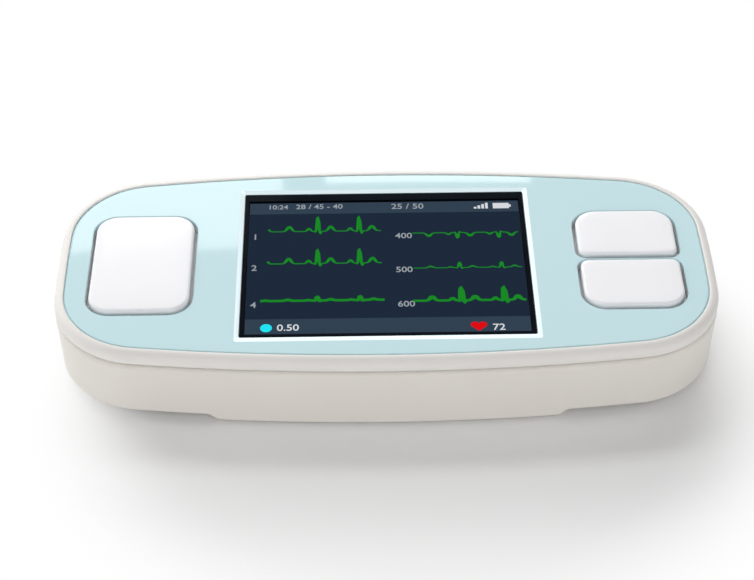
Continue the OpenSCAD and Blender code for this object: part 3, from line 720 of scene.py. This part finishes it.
def number(text, x, y, size):
    """Flat figures on the screen, left edge and baseline at a place in mm."""
    bpy.ops.object.select_all(action="DESELECT")
    bpy.ops.object.text_add(location=(x * MM, y * MM, FIGURE_Z * MM))
    figures = bpy.context.object
    figures.data.body, figures.data.size = text, size * MM
    figures.data.extrude, figures.data.offset = 0.01 * MM, 0.03 * MM
    bpy.ops.object.convert(target="MESH")
    bpy.ops.object.transform_apply(location=True)
    modify(figures, "WELD", merge_threshold=1e-7)
    return figures


figure_white = glowing("figure_white", rgb(222, 226, 230))
figure_grey = glowing("figure_grey", rgb(158, 166, 174))
on_screen(gather("dim_figures", [
    number("1", -34.1, 10.4, 3), number("2", -34.1, -1.8, 3), number("4", -33.9, -15.8, 3),
    number("400", 2.6, 10.3, 2.9), number("500", 2.4, -3.0, 2.9), number("600", 2.6, -16.0, 2.9),
    number("10:24", -30.4, 22.6, 2.4), number("28 / 45 - 40", -23.1, 22.6, 2.6),
    number("25 / 50", 1.8, 22.2, 3)]), figure_grey)
marks = [number("0.50", -27.2, -24.3, 3.2), number("72", 25.6, -25.0, 3.2)]
# four bars for the signal, and a battery with its nub
marks += [plate((23.4 + k, 24.1 + k), (21.9, 22.6 + 0.55 * k), 2) for k in range(4)]
marks += [plate((28.4, 32.6), (21.9, 24.1), 2, [(lambda place: True, 0.3)]),
          plate((32.6, 33.1), (22.5, 23.5), 2)]
on_screen(gather("bright_figures", marks), figure_white)
status_dot = rod("status_dot", (-29.8, -23.3), 1.45, (MARK_Z, TRACE_Z), 32)
on_screen(status_dot, glowing("dot_cyan", rgb(36, 236, 250)))
# a heart: two round lobes and a point
heart, lobe = [rod("heart_mark", (22.3 + side * 0.95, -23.0), 1.05, (MARK_Z, TRACE_Z), 28)
               for side in (-1, 1)]
tip = draw("tip", [(20.45, -23.45, MARK_Z), (22.3, -25.3, MARK_Z),
                   (24.15, -23.45, MARK_Z), (22.3, -22.9, MARK_Z)])
bpy.ops.mesh.select_all(action="SELECT")
bpy.ops.mesh.edge_face_add()
bpy.ops.mesh.extrude_region_move(TRANSFORM_OT_translate={"value": (0, 0, 0.03 * MM)})
bpy.ops.mesh.select_all(action="SELECT")
bpy.ops.mesh.normals_make_consistent(inside=False)
bpy.ops.object.mode_set(mode="OBJECT")
carve(heart, "UNION", [lobe, tip])
on_screen(heart, glowing("heart_red", rgb(229, 14, 22)))

# ------------------------------------------------------------------ keys
# Hollow caps moulded in glossy white plastic, standing 0.9 mm out of the panel, with a soft
# top edge, a flange that stops them under the deck and a ribbed stem over the dome.
KEY_TOP, KEY_EDGE, CAP_WALL = FACE_Z + 0.9, 0.8, 1.4
FLANGE_W, FLANGE_LOW, FLANGE_HIGH = 0.8, DECK_Z - 1, DECK_Z - 0.1
SKIN_Z, DOME_TOP = KEY_TOP - CAP_WALL, BOARD_Z + 4.6
key_white, place = new_material("key_white")
finish(key_white, {
    "Base Color": place.noise(14).mix(rgb(236, 236, 239), rgb(240, 240, 243)),
    "Roughness": 0.16 + 0.06 * place.noise(3),
    "Coat Weight": 0.25,
    "Coat Roughness": 0.05,
}, bump=place.noise(0.5, 2.0), height=0.001)
for name, x, y, depth, r_back, r_front in KEYS:
    middle = (x * MM, y * MM, 0)
    cap = key_block(name + "_cap", x, y, depth, r_back, r_front, 0, (FLANGE_HIGH, KEY_TOP))
    alone(cap)
    bpy.ops.object.mode_set(mode="EDIT")
    pick("edges", lambda e: all(v.co.z > (KEY_TOP - 0.01) * MM for v in e.verts))
    bpy.ops.mesh.bevel(offset=KEY_EDGE * MM, segments=8, affect="EDGES")
    # the top swells very slightly towards its middle
    pick("faces", lambda f: f.normal.z > 0.999)
    for share, swell in ((0.93, 0.05), (0.84, 0.04), (0.7, 0.03), (0.5, 0.01)):
        bpy.ops.mesh.extrude_region_move(TRANSFORM_OT_translate={"value": (0, 0, swell * MM)})
        bpy.ops.transform.resize(value=(share, share, 1), center_override=middle)
    # the flange round the foot is drawn out and down, then the hollow in and up
    flange_x, flange_y = KEY_W + 2 * FLANGE_W, depth + 2 * FLANGE_W
    hollow_x, hollow_y = KEY_W - 2 * CAP_WALL, depth - 2 * CAP_WALL
    pick("faces", lambda f: f.normal.z < -0.9)
    for wider, deeper, rise in ((flange_x / KEY_W, flange_y / depth, FLANGE_LOW - FLANGE_HIGH),
                                (hollow_x / flange_x, hollow_y / flange_y, SKIN_Z - FLANGE_LOW)):
        bpy.ops.mesh.extrude_region_move(TRANSFORM_OT_translate={"value": (0, 0, 0)})
        bpy.ops.transform.resize(value=(wider, deeper, 1), center_override=middle)
        bpy.ops.mesh.extrude_region_move(TRANSFORM_OT_translate={"value": (0, 0, rise * MM)})
    bpy.ops.object.mode_set(mode="OBJECT")
    rib_top = SKIN_Z + 0.1
    carve(cap, "UNION", [
        block("rib", (x - 6, x + 6), (y - 0.5, y + 0.5), (FLANGE_LOW, rib_top)),
        block("rib", (x - 0.5, x + 0.5), (y - 6, y + 6), (FLANGE_LOW, rib_top)),
        rod("stem", (x, y), 2.2, (DOME_TOP + 0.05, rib_top))])
    smooth(cap, 50)
    clad(cap, key_white)
    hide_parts(name + "_key")
    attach(cap, name + "_button")

# ------------------------------------------------------------------ sockets in the back wall
# The drawn steel shell of the charging socket with its black tongue, and the black nose of
# the round lead jack, with gold contacts behind it.
steel, place = new_material("drawn_steel")
finish(steel, {
    "Base Color": place.noise(4).mix(rgb(176, 178, 182), rgb(196, 197, 200)),
    "Metallic": 1.0,
    "Roughness": 0.26 + 0.12 * place.noise(0.4),
}, bump=place.noise(0.15), height=0.002)
black_plastic, place = new_material("black_plastic")
finish(black_plastic, {
    "Base Color": place.noise(2).mix(rgb(24, 25, 27), rgb(34, 35, 37)),
    "Roughness": 0.42 + 0.12 * place.noise(0.5),
}, bump=place.noise(0.2), height=0.003)
gold, place = new_material("gold_flash")
finish(gold, {
    "Base Color": place.noise(1).mix(rgb(212, 172, 88), rgb(226, 190, 108)),
    "Metallic": 1.0,
    "Roughness": 0.24 + 0.1 * place.noise(0.3),
})
nodes = frame["nodes"]
for name in ("usb_socket", "housing_screws", "board_screws", "display_frame", "shield_can",
             "crystal"):
    clad(nodes[name], steel)
for name in ("usb_tongue", "lead_jack", "buzzer", "contact_block", "display_bracket"):
    clad(nodes[name], black_plastic)
for name in ("jack_contacts", "contact_springs"):
    clad(nodes[name], gold)

# ------------------------------------------------------------------ battery
# A flat lithium pouch cell in a plain grey sleeve. It lies loose in its bay, where the door
# keeps it in and the springs touch its end.
sleeve, place = new_material("battery_sleeve")
finish(sleeve, {
    "Base Color": place.noise(6).mix(rgb(92, 98, 106), rgb(108, 114, 122)),
    "Roughness": 0.38 + 0.15 * place.noise(1.5),
}, bump=place.noise(2.5), height=0.03)
clad(nodes["battery_pack"], sleeve)

# ------------------------------------------------------------------ circuit board
# Green solder mask over glass cloth, with black moulded chips, a radio module on its own blue
# board, ceramic capacitors and an ivory connector for the amber display ribbon.
solder_mask, place = new_material("solder_mask")
cloth = place.node("TexWave", {"bands_direction": "X"},
                   {"Vector": place, "Scale": 1 / (6 * MM), "Distortion": 0.5})
finish(solder_mask, {
    "Base Color": cloth.mix(rgb(18, 84, 48), rgb(24, 96, 56)),
    "Roughness": 0.3 + 0.12 * place.noise(0.8),
}, bump=cloth, height=0.01)
clad(nodes["main_board"], solder_mask)


def moulded(name, dark, light, roughness, grain):
    """A plain moulded, woven or cast material between two close shades."""
    made, place = new_material(name)
    return finish(made, {
        "Base Color": place.noise(grain * 6).mix(rgb(*dark), rgb(*light)),
        "Roughness": roughness + 0.12 * place.noise(grain * 2),
    }, bump=place.noise(grain), height=0.004)


chip_epoxy = moulded("chip_epoxy", (30, 30, 32), (40, 40, 43), 0.5, 0.12)
for name in ("processor_chip", "memory_chip", "front_end_chip", "charger_chip"):
    clad(nodes[name], chip_epoxy)
for name, made in (
        ("radio_module", moulded("radio_blue", (26, 52, 120), (34, 62, 134), 0.35, 0.3)),
        ("capacitors", moulded("ceramic_tan", (172, 142, 104), (186, 156, 118), 0.45, 0.1)),
        ("flex_connector", moulded("connector_ivory", (226, 218, 196), (234, 227, 208), 0.4, 0.15)),
        ("display_flex", moulded("ribbon_amber", (196, 118, 34), (210, 134, 48), 0.3, 0.5))):
    clad(nodes[name], made)

# ------------------------------------------------------------------ domes and display stack
# Silicone sheets and domes under the keys with their carbon pills, and the foam, glass and
# white light guide that make up the display.
silicone = moulded("clear_silicone", (206, 214, 216), (220, 226, 228), 0.5, 0.4)
for name in ("measure_keypad", "scroll_keypad"):
    clad(nodes[name], silicone)
# each dome is a thin sloped skirt under a solid crown
PRESS, DOME_H = 0.8, DOME_TOP - BOARD_TOP
DOME_PROFILE = [(0, DOME_H - 1.3), (2, DOME_H - 1.3), (3.7, 0), (4.6, 0), (4.6, 0.7), (4.1, 0.8),
                (2.6, DOME_H - 0.3), (2.3, DOME_H), (0, DOME_H)]
for name, x, y, depth, r_back, r_front in KEYS:
    dome = draw(name + "_bubble", [(x + u, y, BOARD_TOP + z) for u, z in DOME_PROFILE])
    bpy.ops.mesh.select_all(action="SELECT")
    bpy.ops.mesh.spin(steps=32, angle=-2 * math.pi, center=(x * MM, y * MM, 0), axis=(0, 0, 1))
    bpy.ops.mesh.select_all(action="SELECT")
    bpy.ops.mesh.remove_doubles(threshold=1e-6)
    bpy.ops.mesh.normals_make_consistent(inside=False)
    bpy.ops.object.mode_set(mode="OBJECT")
    smooth(dome)
    clad(dome, silicone)
    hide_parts(name + "_dome")
    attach(dome, "case")
    name + "_press"
    x * MM
    y * MM
    1 - PRESS / DOME_H
    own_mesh(dome)
carbon = moulded("carbon_pill", (26, 26, 27), (36, 36, 37), 0.65, 0.1)
for name in ("measure_contact", "up_contact", "down_contact"):
    clad(nodes[name], carbon)
for name, made in (
        ("display_gasket", moulded("black_foam", (20, 20, 21), (30, 30, 31), 0.85, 0.2)),
        ("display_glass", moulded("display_edge", (14, 16, 20), (20, 22, 27), 0.12, 3)),
        ("display_backlight", moulded("light_guide", (232, 234, 236), (242, 243, 245), 0.4, 1))):
    clad(nodes[name], made)

# ------------------------------------------------------------------ floor and light
# A white table that fades into a white studio. Softboxes stand behind the monitor, and a low
# one in front opens up the shadow side of the case.
bpy.ops.object.select_all(action="DESELECT")
bpy.ops.mesh.primitive_plane_add(size=12, location=(0, 0, 0))
table = bpy.context.object
table.name = "table"


def in_view(link):
    """1 for rays that show the white surroundings, 0 for rays that only light the object."""
    straight, mirrored, through = [
        link.node("LightPath", {}, {}, ray)
        for ray in ("Is Camera Ray", "Is Glossy Ray", "Is Transmission Ray")]
    return link.maths("MAXIMUM", straight, link.maths("MAXIMUM", mirrored, through))


table_white, place = new_material("table_white")
seen = in_view(place)
white = place.noise(400).mix([0.9, 0.9, 0.9, 1], [0.92, 0.92, 0.92, 1])
paper = place.node("BsdfDiffuse", {}, {"Color": white})
glow = place.node("Emission", {}, {"Color": [1, 1, 1, 1], "Strength": 0.02 * seen})
studio = place.node("Emission", {}, {"Color": [1, 1, 1, 1], "Strength": 1.0})
# the white sets in round an oval, drawn a little in front of the case where its shadow falls;
# beyond it the glowing white paints out the shadow
OVAL_SCALE, OVAL_SHIFT, FADE_START, FADE_END = (1.35, 1.5, 0), (-0.01, 0.0375, 0), 0.085, 0.138
oval = place.node("VectorMath", {"operation": "MULTIPLY_ADD"},
                  {0: place, 1: OVAL_SCALE, 2: OVAL_SHIFT})
distance = oval.node("VectorMath", {"operation": "LENGTH"}, {0: oval}, "Value")
fade = place.node("MapRange", {"interpolation_type": "SMOOTHSTEP"},
                  {"Value": distance, "From Min": FADE_START, "From Max": FADE_END})
near_by = place.node("AddShader", {}, {0: paper, 1: glow})
surface = place.node("MixShader", {}, {0: fade * seen, 1: near_by, 2: studio})
place.node("OutputMaterial", {}, {"Surface": surface})
clad(table, table_white)

WORLD_LIGHT = 0.15
world = bpy.data.worlds.new("studio")
bpy.context.scene.world = world
world.use_nodes = True
backdrop = world.node_tree.nodes["Background"]
backdrop.inputs["Color"].default_value = (1, 1, 1, 1)
strength = WORLD_LIGHT + (1 - WORLD_LIGHT) * in_view(Link(world.node_tree))
world.node_tree.links.new(strength.socket, backdrop.inputs["Strength"])


def softbox(name, middle, aim, size, brightness, mirrored=False):
    """A lamp of a size in metres, whose face has a brightness where 1 is white.

    Only a mirrored lamp shows in gloss.
    """
    bpy.ops.object.light_add(type="AREA", location=middle)
    lamp = bpy.context.object
    lamp.name = name
    lamp.rotation_euler = (Vector(aim) - Vector(middle)).to_track_quat("-Z", "Y").to_euler()
    lamp.data.shape, lamp.data.size, lamp.data.size_y = "RECTANGLE", *size
    lamp.data.energy = brightness * math.pi * size[0] * size[1]
    lamp.visible_glossy = mirrored


# two of them show in the gloss of the panel, the others only light the case
softbox("left_mirrored", (-0.165, 0.9, 0.58), (-0.165, 0, 0.58), (0.2, 0.4), 2.4, True)
softbox("middle_mirrored", (0.052, 0.9, 0.52), (0.052, 0, 0.52), (0.165, 0.38), 3, True)
softbox("back_key", (-0.03, 0.92, 0.5), (0, 0, 0.2), (0.6, 0.26), 5.4)
softbox("left_key", (-0.8, 0.9, 0.7), (-0.2, 0, 0.3), (1, 0.6), 5.2)
softbox("high_back", (-0.1, 0.6, 0.95), (0, 0, 0), (1.1, 0.22), 4.3)
softbox("low_front", (0, -1.2, 0.3), (0, 0, 0.02), (2.4, 0.56), 1.8)
softbox("high_front", (0, -0.85, 1), (0, 0, 0), (0.9, 0.6), 1.7)
softbox("right_side", (1.2, 0.1, 0.5), (0, 0, 0), (0.5, 0.5), 2.2)
softbox("left_side", (-1.2, 0.15, 0.45), (0, 0, 0), (0.5, 0.5), 4)

bpy.context.scene.view_settings.view_transform = "Standard"
